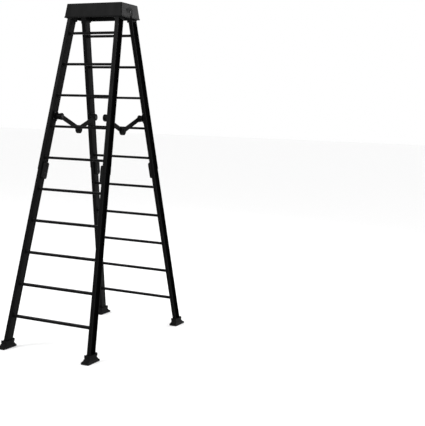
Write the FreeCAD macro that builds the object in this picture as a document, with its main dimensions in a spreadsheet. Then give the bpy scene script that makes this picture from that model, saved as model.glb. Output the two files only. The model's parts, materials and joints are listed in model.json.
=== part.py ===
import FreeCAD, Part
import math
import os
import Sketcher
from FreeCAD import Placement, Rotation, Vector

# A double-sided folding step ladder whose legs split at mid height.
# Frame: origin on the floor under the middle of the ladder, +Z up, X along the rungs, front side at -Y.
# Two equal side frames lean together under a hinged cap. The front one is the rear one turned half a turn
# about Z, and a left rail is a right rail turned half a turn inside its frame.
# Rail coordinates: Z up along the rail, X outwards from the inner face of the web, Y across the channel.

X_AXIS = Vector(1, 0, 0)
Y_AXIS = Vector(0, 1, 0)
Z_AXIS = Vector(0, 0, 1)

# Driving dimensions in millimetres and degrees.
DIMENSIONS = {
    "lean_angle": 12.78,
    "splay_angle": 3.645,
    "rung_pitch": 304.8,
    "foot_half_width": 450.0,
    "foot_half_spread": 823.0,
    "hinge_height": 3179.0,
    "joint_height": 1707.6,
    "rail_top_height": 3310.6,
    "rail_foot_height": 26.0,
    "joint_gap": 0.5,
    "upper_rail_depth": 90.0,
    "upper_rail_width": 41.0,
    "lower_rail_depth": 86.0,
    "lower_rail_width": 38.0,
    "rail_wall": 3.2,
    "rung_depth": 45.0,
    "rung_height": 23.0,
    "rung_wall": 2.0,
    "rung_corner": 6.0,
    "rung_end_stand": 5.0,
    "rung_slot_play": 0.25,
    "tongue_length": 160.0,
    "tongue_depth": 59.0,
    "tongue_thick": 28.0,
    "tongue_corner": 18.0,
    "button_rise": 50.0,
    "button_radius": 15.0,
    "button_hole_radius": 17.5,
    "button_bore_radius": 15.06,
    "button_bore_depth": 22.0,
    "button_stem_radius": 6.0,
    "button_stem_bore": 6.06,
    "button_proud": 2.0,
    "button_head_thick": 3.0,
    "spring_radius": 11.0,
    "spring_wire": 0.8,
    "spring_play": 0.2,
    "button_rim": 1.5,
    "button_tail_radius": 9.6,
    "button_tail_thick": 3.0,
    "cap_height": 134.0,
    "cap_top": 3254.0,
    "cap_top_half_length": 306.0,
    "cap_foot_half_length": 323.0,
    "cap_top_half_depth": 148.0,
    "cap_foot_half_depth": 168.0,
    "cap_wall": 4.0,
    "cap_seam": 0.5,
    "ear_radius": 38.0,
    "ear_thick": 10.0,
    "ear_inner": 296.5,
    "ear_gap": 0.5,
    "ear_relief": 39.5,
    "recess_radius": 20.0,
    "recess_depth": 4.0,
    "ear_arm_reach": 58.0,
    "inner_arm_height": 60.0,
    "outer_arm_height": 52.0,
    "seam_relief_extra": 1.5,
    "stop_block_length": 14.5,
    "stop_block_start": 41.0,
    "stop_block_depth": 18.0,
    "stop_block_height": 40.0,
    "stop_block_drop": 10.0,
    "socket_inner_wall": 10.0,
    "socket_wall": 3.0,
    "socket_depth": 126.0,
    "socket_height": 170.0,
    "bolt_radius": 8.0,
    "bolt_bore": 8.05,
    "bolt_head_radius": 13.0,
    "bolt_head_thick": 5.0,
    "nut_thick": 9.0,
    "pivot_spread": 299.0,
    "pivot_height": 2176.0,
    "knee_height": 2055.0,
    "link_inner": 240.0,
    "link_thick": 14.0,
    "link_bar_thick": 10.0,
    "link_bar_width": 44.0,
    "link_gap": 0.5,
    "eye_radius": 34.0,
    "knee_eye_radius": 41.0,
    "pin_radius": 8.0,
    "pin_bore": 8.05,
    "pin_head_radius": 18.0,
    "pin_head_thick": 5.0,
    "pin_play": 0.3,
    "bracket_plate_length": 86.0,
    "bracket_plate_depth": 66.0,
    "bracket_plate_thick": 6.0,
    "bracket_plate_share": 0.35,
    "bracket_boss_radius": 30.0,
    "bracket_boss_sink": 3.0,
    "pin_end_sink": 12.0,
    "sole_width": 78.0,
    "sole_depth": 184.0,
    "sole_thick": 8.0,
    "groove_width": 5.0,
    "groove_depth": 3.0,
    "pad_width": 82.0,
    "pad_depth": 188.0,
    "pad_top_width": 68.0,
    "pad_top_depth": 146.0,
    "pad_top": 26.0,
    "collar_width": 60.0,
    "collar_depth": 130.0,
    "collar_top": 62.0,
}

RUNGS_PER_FRAME = 10
LOWER_RUNGS = 5
TREAD_GROOVES = 6
SPRING_TURNS = 3

# A cutting tool reaches this far beyond what it cuts, in millimetres.
TOOL_REACH = 20.0
TOOL_LENGTH = 80.0
CLEAR_LENGTH = 30.0
BIG_TOOL = 800.0


def make_sheet(doc):
    sheet = doc.addObject("Spreadsheet::Sheet", "sheet")
    for row, (name, value) in enumerate(DIMENSIONS.items(), start=1):
        sheet.set(f"A{row}", name)
        sheet.set(f"B{row}", str(value))
        sheet.setAlias(f"B{row}", name)
    doc.recompute()
    return sheet


doc = FreeCAD.newDocument("ladder")
sheet = make_sheet(doc)


def dim(name):
    return float(getattr(sheet, name))


def expr(text):
    """An expression in which every word that is a driving dimension reads the sheet."""
    out = text
    for name in sorted(DIMENSIONS, key=len, reverse=True):
        out = out.replace(f"{{{name}}}", f"sheet.{name}")
    return out


LEAN = dim("lean_angle")
SPLAY = dim("splay_angle")
LEAN_RAD = math.radians(LEAN)
SPLAY_RAD = math.radians(SPLAY)


# ---------------------------------------------------------------- places

def move(x, y, z):
    return Placement(Vector(x, y, z), Rotation())


def turn(axis, angle):
    return Placement(Vector(0, 0, 0), Rotation(axis, angle))


HALF_TURN = turn(Z_AXIS, 180)
REAR_FRAME = move(0, dim("foot_half_spread"), 0).multiply(turn(X_AXIS, LEAN))
FRAMES = {"front": HALF_TURN.multiply(REAR_FRAME), "rear": REAR_FRAME}
RAIL_IN_FRAME = move(dim("foot_half_width"), 0, 0).multiply(turn(Y_AXIS, -SPLAY))


def is_turned(end, side):
    """A rail is the turned one of its frame when it is not the one at local +X."""
    return (end == "rear") == (side == "left")


def rail_place(end, side):
    local = HALF_TURN.multiply(RAIL_IN_FRAME) if is_turned(end, side) else RAIL_IN_FRAME
    return FRAMES[end].multiply(local)


def web_half_width(height_in_frame):
    return dim("foot_half_width") - height_in_frame * math.tan(SPLAY_RAD)


def frame_height(world_height):
    return world_height / math.cos(LEAN_RAD)


# ---------------------------------------------------------------- shared makers

def new_body(label):
    body = doc.addObject("PartDesign::Body", label)
    body.Label = label
    return body


def origin_plane(body, role):
    for feature in body.Origin.OriginFeatures:
        if feature.Role == role:
            return feature
    raise ValueError(role)


def new_sketch(body, name, role):
    sketch = body.newObject("Sketcher::SketchObject", name)
    sketch.AttachmentSupport = [(origin_plane(body, role), "")]
    sketch.MapMode = "FlatFace"
    return sketch


def add_outline(sketch, corners):
    """A closed outline through corners, each a pair of expressions that fix its place."""
    first = sketch.GeometryCount
    count = len(corners)
    values = [(evaluate(a), evaluate(b)) for a, b in corners]
    for index in range(count):
        start = values[index]
        end = values[(index + 1) % count]
        line = Part.LineSegment(Vector(start[0], start[1], 0), Vector(end[0], end[1], 0))
        sketch.addGeometry(line, False)
    for index in range(count):
        following = first + (index + 1) % count
        sketch.addConstraint(Sketcher.Constraint("Coincident", first + index, 2, following, 1))
    for index in range(count):
        for kind, value, text in zip(("DistanceX", "DistanceY"), values[index], corners[index]):
            number = sketch.addConstraint(Sketcher.Constraint(kind, -1, 1, first + index, 1, value))
            sketch.setExpression(f"Constraints[{number}]", expr(text))


def evaluate(text):
    """The value of an expression in the sheet's own engine."""
    return float(sheet.evalExpression(expr(text)))


def add_circle(sketch, across, up, radius):
    index = sketch.addGeometry(
        Part.Circle(Vector(evaluate(across), evaluate(up), 0), Z_AXIS, evaluate(radius)), False)
    constraints = (
        (Sketcher.Constraint("Radius", index, evaluate(radius)), radius),
        (Sketcher.Constraint("DistanceX", -1, 1, index, 3, evaluate(across)), across),
        (Sketcher.Constraint("DistanceY", -1, 1, index, 3, evaluate(up)), up),
    )
    for constraint, text in constraints:
        number = sketch.addConstraint(constraint)
        sketch.setExpression(f"Constraints[{number}]", expr(text))


def pad(body, sketch, name, length, midplane=False, reverse=False):
    feature = body.newObject("PartDesign::Pad", name)
    feature.Profile = sketch
    feature.setExpression("Length", expr(length))
    feature.Midplane = midplane
    feature.Reversed = reverse
    doc.recompute()
    return feature


def pocket(body, sketch, name, length, midplane=False, reverse=False):
    before = body.Shape.Volume
    feature = body.newObject("PartDesign::Pocket", name)
    feature.Profile = sketch
    feature.setExpression("Length", expr(length))
    feature.Midplane = midplane
    feature.Reversed = reverse
    doc.recompute()
    if body.Shape.Volume >= before - 1e-6:
        raise RuntimeError(f"{body.Label}: {name} cuts nothing")
    return feature


def primitive(kind, name, sizes, place):
    thing = doc.addObject(kind, name)
    for key, text in sizes.items():
        thing.setExpression(key, expr(text))
    thing.Placement = place
    return thing


def box(name, length, width, height, place):
    return primitive("Part::Box", name, {"Length": length, "Width": width, "Height": height}, place)


def cylinder(name, radius, height, place):
    return primitive("Part::Cylinder", name, {"Radius": radius, "Height": height}, place)


def frustum(name, low, high, bottom, top, place):
    """A block whose bottom and top rectangles differ: low and high are its heights, bottom and top the
    (x from, x to, y from, y to) expressions of the two rectangles."""
    sizes = {
        "Xmin": bottom[0], "Xmax": bottom[1], "Zmin": bottom[2], "Zmax": bottom[3],
        "X2min": top[0], "X2max": top[1], "Z2min": top[2], "Z2max": top[3],
        "Ymin": low, "Ymax": high,
    }
    # The wedge grows along its own Y, so it is stood up with its own Z along -Y and mirrored ranges.
    flipped = dict(sizes)
    flipped["Zmin"] = f"-({sizes['Zmax']})"
    flipped["Zmax"] = f"-({sizes['Zmin']})"
    flipped["Z2min"] = f"-({sizes['Z2max']})"
    flipped["Z2max"] = f"-({sizes['Z2min']})"
    return primitive("Part::Wedge", name, flipped, place.multiply(turn(X_AXIS, 90)))


def fuse(name, things):
    result = doc.addObject("Part::MultiFuse", name)
    result.Shapes = things
    return result


def cut(name, base, tool):
    result = doc.addObject("Part::Cut", name)
    result.Base = base
    result.Tool = tool
    return result


def along_x(x, y, z):
    """A cylinder's place when it starts at (x, y, z) and grows along +X."""
    return move(x, y, z).multiply(turn(Y_AXIS, 90))


finished = []


def finish(thing, label, place=None):
    thing.Label = label
    if place is not None:
        thing.Placement = place.multiply(thing.Placement)
    finished.append(thing)
    return thing


# ---------------------------------------------------------------- rails

def channel_outline(sketch, depth, width):
    half = f"{depth} / 2"
    wall = "{rail_wall}"
    add_outline(sketch, [
        ("0", f"-{half}"),
        (width, f"-{half}"),
        (width, f"-{half} + {wall}"),
        (wall, f"-{half} + {wall}"),
        (wall, f"{half} - {wall}"),
        (width, f"{half} - {wall}"),
        (width, half),
        ("0", half),
    ])


def rung_height_on_rail(number):
    """Height up the rail of rung number, counted from the floor."""
    return number * dim("rung_pitch") / math.cos(SPLAY_RAD)


def rung_slots(body, base_height, first_number, tilt):
    """Five slots through the web, tilted so that the rungs lie level when the ladder stands open."""
    sketch = new_sketch(body, f"{body.Label}_slot", "YZ_Plane")
    across = dim("rung_depth") / 2 + dim("rung_slot_play")
    up = dim("rung_height") / 2 + dim("rung_slot_play")
    centre = rung_height_on_rail(first_number) - base_height
    angle = math.radians(tilt)
    corners = []
    for side, level in ((-1, -1), (1, -1), (1, 1), (-1, 1)):
        y = side * across * math.cos(angle) - level * up * math.sin(angle)
        z = side * across * math.sin(angle) + level * up * math.cos(angle)
        corners.append((f"{y}", f"{z} + {centre}"))
    add_outline(sketch, corners)
    slot = pocket(body, sketch, f"{body.Label}_slot_cut", "4 * {rail_wall}", midplane=True)
    pattern = body.newObject("PartDesign::LinearPattern", f"{body.Label}_slots")
    pattern.Originals = [slot]
    pattern.Direction = (sketch, ["V_Axis"])
    pattern.Length = (LOWER_RUNGS - 1) * dim("rung_pitch") / math.cos(SPLAY_RAD)
    pattern.Occurrences = LOWER_RUNGS
    body.Tip = pattern
    doc.recompute()


def make_rail(end, side, section):
    label = f"{end}_{side}_{section}_rail"
    body = new_body(label)
    sketch = new_sketch(body, f"{label}_section", "XY_Plane")
    channel_outline(sketch, f"{{{section}_rail_depth}}", f"{{{section}_rail_width}}")
    if section == "upper":
        low = dim("joint_height") + dim("joint_gap") / 2
        length = "{rail_top_height} - {joint_height} - {joint_gap} / 2"
        first_number = LOWER_RUNGS + 1
    else:
        low = dim("rail_foot_height")
        length = "{joint_height} - {rail_foot_height} - {joint_gap} / 2"
        first_number = 1
    pad(body, sketch, f"{label}_pad", length)
    rung_slots(body, low, first_number, LEAN if is_turned(end, side) else -LEAN)
    if section == "upper":
        hole = new_sketch(body, f"{label}_button_hole", "YZ_Plane")
        add_circle(hole, "0", "{button_rise} - {joint_gap} / 2", "{button_hole_radius}")
        pocket(body, hole, f"{label}_button_cut", "4 * {rail_wall}", midplane=True)
    finish(body, label, rail_place(end, side).multiply(move(0, 0, low)))


# ---------------------------------------------------------------- rungs

def rounded_outline(sketch, half_across, half_up, radius):
    """A rectangle centred on the sketch's origin, with round corners. Returns its corner arcs."""
    straight_across = half_across - radius
    straight_up = half_up - radius
    corners = ((1, -1, 270), (1, 1, 0), (-1, 1, 90), (-1, -1, 180))
    arcs = []
    for side, level, start in corners:
        centre = Vector(side * straight_across, level * straight_up, 0)
        circle = Part.Circle(centre, Z_AXIS, radius)
        arc = Part.ArcOfCircle(circle, math.radians(start), math.radians(start + 90))
        arcs.append(sketch.addGeometry(arc, False))
    for index in range(len(corners)):
        start_arc = arcs[index]
        end_arc = arcs[(index + 1) % len(corners)]
        start_point = sketch.getPoint(start_arc, 2)
        end_point = sketch.getPoint(end_arc, 1)
        line = sketch.addGeometry(Part.LineSegment(start_point, end_point), False)
        direction = "Vertical" if index % 2 == 0 else "Horizontal"
        sketch.addConstraint(Sketcher.Constraint(direction, line))
        sketch.addConstraint(Sketcher.Constraint("Tangent", start_arc, 2, line, 1))
        sketch.addConstraint(Sketcher.Constraint("Tangent", line, 2, end_arc, 1))
    return arcs


def fix_rounded(sketch, arcs, half_across, half_up, radius):
    """Binds the size of a rounded rectangle to the sheet."""
    for arc in arcs:
        number = sketch.addConstraint(Sketcher.Constraint("Radius", arc, evaluate(radius)))
        sketch.setExpression(f"Constraints[{number}]", expr(radius))
    signs = {0: (1, -1), 2: (-1, 1)}
    for index, (side, level) in signs.items():
        across_text = f"({half_across} - ({radius})) * {side}"
        up_text = f"({half_up} - ({radius})) * {level}"
        for kind, text in (("DistanceX", across_text), ("DistanceY", up_text)):
            constraint = Sketcher.Constraint(kind, -1, 1, arcs[index], 3, evaluate(text))
            number = sketch.addConstraint(constraint)
            sketch.setExpression(f"Constraints[{number}]", expr(text))


def make_rung(end, number):
    label = f"{end}_rung_{number:02d}"
    body = new_body(label)
    sketch = new_sketch(body, f"{label}_section", "YZ_Plane")
    outer = rounded_outline(sketch, dim("rung_depth") / 2, dim("rung_height") / 2, dim("rung_corner"))
    inner_across = dim("rung_depth") / 2 - dim("rung_wall")
    inner_up = dim("rung_height") / 2 - dim("rung_wall")
    inner_radius = dim("rung_corner") - dim("rung_wall")
    inner = rounded_outline(sketch, inner_across, inner_up, inner_radius)
    fix_rounded(sketch, outer, "{rung_depth} / 2", "{rung_height} / 2", "{rung_corner}")
    fix_rounded(sketch, inner, "{rung_depth} / 2 - {rung_wall}", "{rung_height} / 2 - {rung_wall}",
                "{rung_corner} - {rung_wall}")
    drop = f"{number} * {{rung_pitch}} * tan({{splay_angle}} * 1 deg)"
    length = f"2 * ({{foot_half_width}} - {drop} + {{rail_wall}} + {{rung_end_stand}})"
    pad(body, sketch, f"{label}_pad", length, midplane=True)
    level = FRAMES[end].multiply(move(0, 0, number * dim("rung_pitch"))).multiply(turn(X_AXIS, -LEAN))
    finish(body, label, level)


# ---------------------------------------------------------------- splice tongues and their buttons

def make_tongue(end, side):
    label = f"{end}_{side}_splice_tongue"
    body = new_body(label)
    sketch = new_sketch(body, f"{label}_outline", "YZ_Plane")
    arcs = rounded_outline(sketch, dim("tongue_depth") / 2, dim("tongue_length") / 2, dim("tongue_corner"))
    fix_rounded(sketch, arcs, "{tongue_depth} / 2", "{tongue_length} / 2", "{tongue_corner}")
    pad(body, sketch, f"{label}_pad", "{tongue_thick}", reverse=True)
    bore = new_sketch(body, f"{label}_bore", "YZ_Plane")
    add_circle(bore, "0", "{button_rise}", "{button_bore_radius}")
    pocket(body, bore, f"{label}_bore_cut", "2 * {button_bore_depth}", midplane=True)
    stem = new_sketch(body, f"{label}_stem_bore", "YZ_Plane")
    add_circle(stem, "0", "{button_rise}", "{button_stem_bore}")
    pocket(body, stem, f"{label}_stem_cut", "4 * {tongue_thick}", midplane=True)
    finish(body, label, rail_place(end, side).multiply(move(0, 0, dim("joint_height"))))


def button_place(end, side):
    height = dim("joint_height") + dim("button_rise")
    return rail_place(end, side).multiply(move(0, 0, height))


def make_button(end, side):
    label = f"{end}_{side}_lock_button"
    start = -dim("button_head_thick")
    nose = cylinder(f"{label}_nose", "{button_radius}",
                    "{button_head_thick} + {rail_wall} + {button_proud}", along_x(start, 0, 0))
    stem_start = -dim("tongue_thick") - dim("pin_play")
    stem = cylinder(f"{label}_stem", "{button_stem_radius}",
                    "{tongue_thick} + {pin_play}", along_x(stem_start, 0, 0))
    tail = cylinder(f"{label}_tail", "{button_tail_radius}", "{button_tail_thick}",
                    along_x(stem_start - dim("button_tail_thick"), 0, 0))
    joined = fuse(f"{label}_solid", [nose, stem, tail])
    soft = doc.addObject("Part::Fillet", f"{label}_rounded")
    doc.recompute()
    soft.Base = joined
    rim = rim_edges(joined, X_AXIS, dim("rail_wall") + dim("button_proud"))
    soft.Edges = [(edge, dim("button_rim"), dim("button_rim")) for edge in rim]
    finish(soft, label, button_place(end, side))


def rim_edges(thing, axis, level):
    """Numbers of the round edges of thing that lie at a level along an axis."""
    numbers = []
    for number, edge in enumerate(thing.Shape.Edges, start=1):
        centre = edge.BoundBox.Center
        thin = edge.BoundBox.XLength if axis == X_AXIS else edge.BoundBox.ZLength
        place = centre.x if axis == X_AXIS else centre.z
        if abs(place - level) < 1e-6 and thin < 1e-6:
            numbers.append(number)
    return numbers


def make_spring(end, side):
    """A coil in the tongue's bore, between the bore's floor and the back of the button's head."""
    label = f"{end}_{side}_button_spring"
    wire = dim("spring_wire")
    radius = dim("spring_radius")
    room = dim("button_bore_depth") - dim("button_head_thick")
    play = dim("spring_play")
    rise = room - 2 * wire - 2 * play
    coil = Part.makeLongHelix(rise / SPRING_TURNS, rise, radius)
    section = Part.Wire([Part.makeCircle(wire, Vector(radius, 0, 0), Y_AXIS)])
    solid = Part.Wire(coil).makePipeShell([section], True, True)
    feature = doc.addObject("Part::Feature", label)
    feature.Shape = solid
    start = -dim("button_bore_depth") + wire + play
    feature.Placement = along_x(start, 0, 0)
    finish(feature, label, button_place(end, side))


# ---------------------------------------------------------------- spreaders

def pivot_in_frame():
    """The spreader pivot's offset from the frame's plane and its height up the frame."""
    back = dim("pivot_spread") - dim("foot_half_spread")
    up = dim("pivot_height")
    across = back * math.cos(LEAN_RAD) + up * math.sin(LEAN_RAD)
    height = -back * math.sin(LEAN_RAD) + up * math.cos(LEAN_RAD)
    return across, height


def link_levels(end):
    """Distance from the middle plane of a link's inner and outer face. The front links run inboard."""
    inner = dim("link_inner")
    if end == "rear":
        inner = inner + dim("link_thick") + dim("link_gap")
    return inner, inner + dim("link_thick")


def make_bracket(end, side):
    """A plate on the web with a round boss that carries the spreader pivot. The plate is nearer the web's
    middle line than the boss."""
    label = f"{end}_{side}_spreader_bracket"
    turned = is_turned(end, side)
    across, height = pivot_in_frame()
    on_rail = height / math.cos(SPLAY_RAD)
    flip = -1 if turned else 1
    plate_place = RAIL_IN_FRAME.multiply(move(
        -dim("bracket_plate_thick"),
        flip * across * dim("bracket_plate_share") - dim("bracket_plate_depth") / 2,
        on_rail - dim("bracket_plate_length") / 2))
    plate = box(f"{label}_plate", "{bracket_plate_thick}", "{bracket_plate_depth}",
                "{bracket_plate_length}", plate_place)
    face = link_levels(end)[1] + dim("pin_play")
    root = web_half_width(height) - dim("bracket_boss_sink")
    boss = cylinder(f"{label}_boss", "{bracket_boss_radius}", f"{root - face}",
                    along_x(face, flip * across, height))
    hole = cylinder(f"{label}_hole", "{pin_radius}", f"{TOOL_LENGTH}",
                    along_x(face - TOOL_REACH, flip * across, height))
    joined = fuse(f"{label}_solid", [plate, boss])
    bored = cut(label, joined, hole)
    place = FRAMES[end].multiply(HALF_TURN) if turned else FRAMES[end]
    finish(bored, label, place)


def make_pins(end):
    """The two pivot pins of one frame: a shank in the bracket's boss and a head inboard of the link."""
    label = f"{end}_spreader_pins"
    across, height = pivot_in_frame()
    inner = link_levels(end)[0]
    pieces = []
    for side in ("right", "left"):
        turned = is_turned(end, side)
        flip = -1 if turned else 1
        place = HALF_TURN if turned else Placement()
        reach = web_half_width(height) - dim("pin_end_sink")
        head_start = inner - dim("pin_play") - dim("pin_head_thick")
        shank = cylinder(f"{label}_{side}_shank", "{pin_radius}", f"{reach - head_start}",
                         place.multiply(along_x(head_start, flip * across, height)))
        head = cylinder(f"{label}_{side}_head", "{pin_head_radius}", "{pin_head_thick}",
                        place.multiply(along_x(head_start, flip * across, height)))
        pieces.append(fuse(f"{label}_{side}", [shank, head]))
    group = doc.addObject("Part::Compound", label)
    group.Links = pieces
    finish(group, label, FRAMES[end])


def make_link(end, side):
    """One spreader link, from its bracket pivot down to the knee over the ladder's middle."""
    label = f"{end}_{side}_spreader_link"
    inner, outer = link_levels(end)
    spread = dim("pivot_spread")
    drop = dim("pivot_height") - dim("knee_height")
    length = math.hypot(spread, drop)
    slope = math.degrees(math.atan2(drop, spread))
    pivot = Vector(0, spread, dim("pivot_height"))
    knee = Vector(0, 0, dim("knee_height"))
    eye = cylinder(f"{label}_eye", "{eye_radius}", "{link_thick}", along_x(inner, pivot.y, pivot.z))
    knee_eye = cylinder(f"{label}_knee_eye", "{knee_eye_radius}", "{link_thick}",
                        along_x(inner, knee.y, knee.z))
    bar_start = inner + (dim("link_thick") - dim("link_bar_thick")) / 2
    bar_place = move(bar_start, knee.y, knee.z).multiply(turn(X_AXIS, slope)).multiply(
        move(0, 0, -dim("link_bar_width") / 2))
    bar = box(f"{label}_bar", "{link_bar_thick}", f"{length}", "{link_bar_width}", bar_place)
    head_start = inner - dim("pin_head_thick") if end == "front" else outer
    rivet = cylinder(f"{label}_rivet", "{pin_head_radius}", "{pin_head_thick}",
                     along_x(head_start, knee.y, knee.z))
    joined = fuse(f"{label}_solid", [eye, knee_eye, bar, rivet])
    hole = cylinder(f"{label}_hole", "{pin_bore}", f"{TOOL_LENGTH}",
                    along_x(inner - TOOL_REACH, pivot.y, pivot.z))
    bored = cut(f"{label}_bored", joined, hole)
    finish_corner(bored, label, end, side)


def finish_corner(thing, label, end, side):
    """Puts a piece made for the rear right corner at another corner by mirroring it."""
    doc.recompute()
    shape = thing.Shape.copy()
    if side == "left":
        shape = shape.mirror(Vector(0, 0, 0), X_AXIS)
    if end == "front":
        shape = shape.mirror(Vector(0, 0, 0), Y_AXIS)
    feature = doc.addObject("Part::Feature", label)
    feature.Shape = shape
    finish(feature, label)


# ---------------------------------------------------------------- cap

def cap_blocks(name):
    """The cap half's outside block and the hollow that is cut from it."""
    outside = frustum(
        f"{name}_outside", "{cap_top} - {cap_height}", "{cap_top}",
        ("-{cap_foot_half_length}", "{cap_foot_half_length}", "{cap_seam}", "{cap_foot_half_depth}"),
        ("-{cap_top_half_length}", "{cap_top_half_length}", "{cap_seam}", "{cap_top_half_depth}"),
        Placement())
    hollow = frustum(
        f"{name}_hollow", "{cap_top} - {cap_height}", "{cap_top} - {cap_wall}",
        ("-{cap_foot_half_length} + {cap_wall}", "{cap_foot_half_length} - {cap_wall}",
         "-{cap_wall}", "{cap_foot_half_depth} - {cap_wall}"),
        ("-{cap_top_half_length} + {cap_wall}", "{cap_top_half_length} - {cap_wall}",
         "-{cap_wall}", "{cap_top_half_depth} - {cap_wall}"),
        Placement())
    return outside, hollow


def seam_relief(name):
    """What is cut away under the hinge axis so that the halves clear each other when the ladder folds."""
    angle = 180 + LEAN + dim("seam_relief_extra")
    place = move(-BIG_TOOL / 2, 0, dim("hinge_height")).multiply(turn(X_AXIS, angle))
    return box(name, f"{BIG_TOOL}", f"{BIG_TOOL / 4}", f"{BIG_TOOL / 4}", place)


def rear_rail_frame(side):
    return FRAMES["rear"].multiply(HALF_TURN if side == "left" else Placement()).multiply(RAIL_IN_FRAME)


def rail_envelope(name, side):
    """The rail's outer box, which the cap's socket fits."""
    foot = dim("rail_top_height") - BIG_TOOL / 2
    place = rear_rail_frame(side).multiply(move(0, -dim("upper_rail_depth") / 2, foot))
    return box(name, "{upper_rail_width}", "{upper_rail_depth}", f"{BIG_TOOL / 2}", place)


def rail_socket(name, side):
    """The block around a rail's top, with a thicker wall on the rung side."""
    foot = dim("rail_top_height") - dim("socket_depth")
    across = -dim("upper_rail_depth") / 2 - dim("socket_wall")
    place = rear_rail_frame(side).multiply(move(-dim("socket_inner_wall"), across, foot))
    return box(name, "{upper_rail_width} + {socket_inner_wall} + {socket_wall}",
               "{upper_rail_depth} + 2 * {socket_wall}", "{socket_height}", place)


def make_cap(end):
    """One half of the cap, made as the rear one: its inner ear is at +X and its outer ear at -X."""
    label = f"{end}_cap"
    hinge = dim("hinge_height")
    ear_from = dim("ear_inner")
    outer_from = ear_from + dim("ear_thick") + dim("ear_gap")
    outside, hollow = cap_blocks(label)
    shell = cut(f"{label}_shell", outside, hollow)
    relieved = cut(f"{label}_relieved", shell, seam_relief(f"{label}_relief"))
    clear_right = cylinder(f"{label}_clear_right", "{ear_relief}", f"{TOOL_LENGTH}",
                           along_x(ear_from + dim("ear_thick"), 0, hinge))
    clear_left = cylinder(f"{label}_clear_left", "{ear_relief}", f"{CLEAR_LENGTH}",
                          along_x(-outer_from, 0, hinge))
    cleared = cut(f"{label}_cleared", relieved, fuse(f"{label}_clearances", [clear_right, clear_left]))
    inner_ear = cylinder(f"{label}_inner_ear", "{ear_radius}", "{ear_thick}", along_x(ear_from, 0, hinge))
    arm = box(f"{label}_arm", "{ear_thick}", "{ear_arm_reach}", "{inner_arm_height}",
              move(ear_from, 0, hinge - dim("inner_arm_height") / 2))
    block = box(f"{label}_block", "{stop_block_length}", "{stop_block_depth}", "{stop_block_height}",
                move(ear_from, dim("stop_block_start"), hinge - dim("stop_block_drop")))
    outer_ear = cylinder(f"{label}_outer_ear", "{ear_radius}", "{ear_thick}",
                         along_x(-outer_from - dim("ear_thick"), 0, hinge))
    outer_arm = box(f"{label}_outer_arm", "{ear_thick}", "{ear_arm_reach}", "{outer_arm_height}",
                    move(-outer_from - dim("ear_thick"), 0, hinge - dim("outer_arm_height") / 2))
    sockets = [rail_socket(f"{label}_socket_{side}", side) for side in ("right", "left")]
    body = fuse(f"{label}_body", [cleared, inner_ear, arm, block, outer_ear, outer_arm] + sockets)
    bores = [
        cylinder(f"{label}_running_bore", "{bolt_bore}", f"{TOOL_LENGTH}",
                 along_x(ear_from - TOOL_REACH, 0, hinge)),
        cylinder(f"{label}_fixed_bore", "{bolt_radius}", f"{TOOL_LENGTH}",
                 along_x(-outer_from - 2 * TOOL_REACH, 0, hinge)),
        cylinder(f"{label}_recess", "{recess_radius}", "{recess_depth}",
                 along_x(-outer_from - dim("ear_thick"), 0, hinge)),
        rail_envelope(f"{label}_rail_right", "right"),
        rail_envelope(f"{label}_rail_left", "left"),
        box(f"{label}_above", f"{BIG_TOOL}", f"{BIG_TOOL}", f"{BIG_TOOL / 8}",
            move(-BIG_TOOL / 2, -BIG_TOOL / 2, dim("cap_top"))),
    ]
    whole = cut(label, body, fuse(f"{label}_bores", bores))
    finish(whole, label, HALF_TURN if end == "front" else None)


def make_hinge_bolt(side):
    """A bolt whose head sits in the outer ear's recess, with its nut behind the inner ear."""
    label = f"{side}_hinge_bolt"
    hinge = dim("hinge_height")
    ear_from = dim("ear_inner")
    face = ear_from + 2 * dim("ear_thick") + dim("ear_gap") - dim("recess_depth")
    nut_from = ear_from - dim("pin_play") - dim("nut_thick")
    shank = cylinder(f"{label}_shank", "{bolt_radius}", f"{face - nut_from}", along_x(nut_from, 0, hinge))
    head = primitive("Part::Prism", f"{label}_head",
                     {"Circumradius": "{bolt_head_radius}", "Height": "{bolt_head_thick}"},
                     along_x(face, 0, hinge))
    nut = primitive("Part::Prism", f"{label}_nut",
                    {"Circumradius": "{bolt_head_radius}", "Height": "{nut_thick}"},
                    along_x(nut_from, 0, hinge))
    whole = fuse(label, [shank, head, nut])
    finish(whole, label, HALF_TURN if side == "left" else None)


# ---------------------------------------------------------------- feet

def foot_centre(height):
    """Where the lower rail's middle line is at a height, at the rear right corner."""
    up = frame_height(height)
    x = web_half_width(up) + dim("lower_rail_width") / 2
    y = dim("foot_half_spread") - height * math.tan(LEAN_RAD)
    return x, y


def rectangle(x, y, width, depth):
    return (f"{x} - {width} / 2", f"{x} + {width} / 2", f"{y} - {depth} / 2", f"{y} + {depth} / 2")


def make_boot(end, side):
    """A moulded boot: a flared pad and a collar that follows the rail's slope."""
    label = f"{end}_{side}_foot_boot"
    low = dim("sole_thick")
    pad_x, pad_y = foot_centre(low)
    top_x, top_y = foot_centre(dim("collar_top"))
    mid_x, mid_y = foot_centre(dim("pad_top"))
    pad_block = frustum(f"{label}_pad", "{sole_thick}", "{pad_top}",
                        rectangle(pad_x, pad_y, "{pad_width}", "{pad_depth}"),
                        rectangle(mid_x, mid_y, "{pad_top_width}", "{pad_top_depth}"), Placement())
    collar = frustum(f"{label}_collar", "{sole_thick}", "{collar_top}",
                     rectangle(pad_x, pad_y, "{pad_top_width}", "{pad_top_depth}"),
                     rectangle(top_x, top_y, "{collar_width}", "{collar_depth}"), Placement())
    place = FRAMES["rear"].multiply(RAIL_IN_FRAME).multiply(
        move(0, -dim("lower_rail_depth") / 2, dim("rail_foot_height")))
    seat = box(f"{label}_seat", "{lower_rail_width}", "{lower_rail_depth}",
               f"{BIG_TOOL / 2}", place)
    solid = cut(f"{label}_solid", fuse(f"{label}_blocks", [pad_block, collar]), seat)
    finish_corner(solid, label, end, side)


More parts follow.
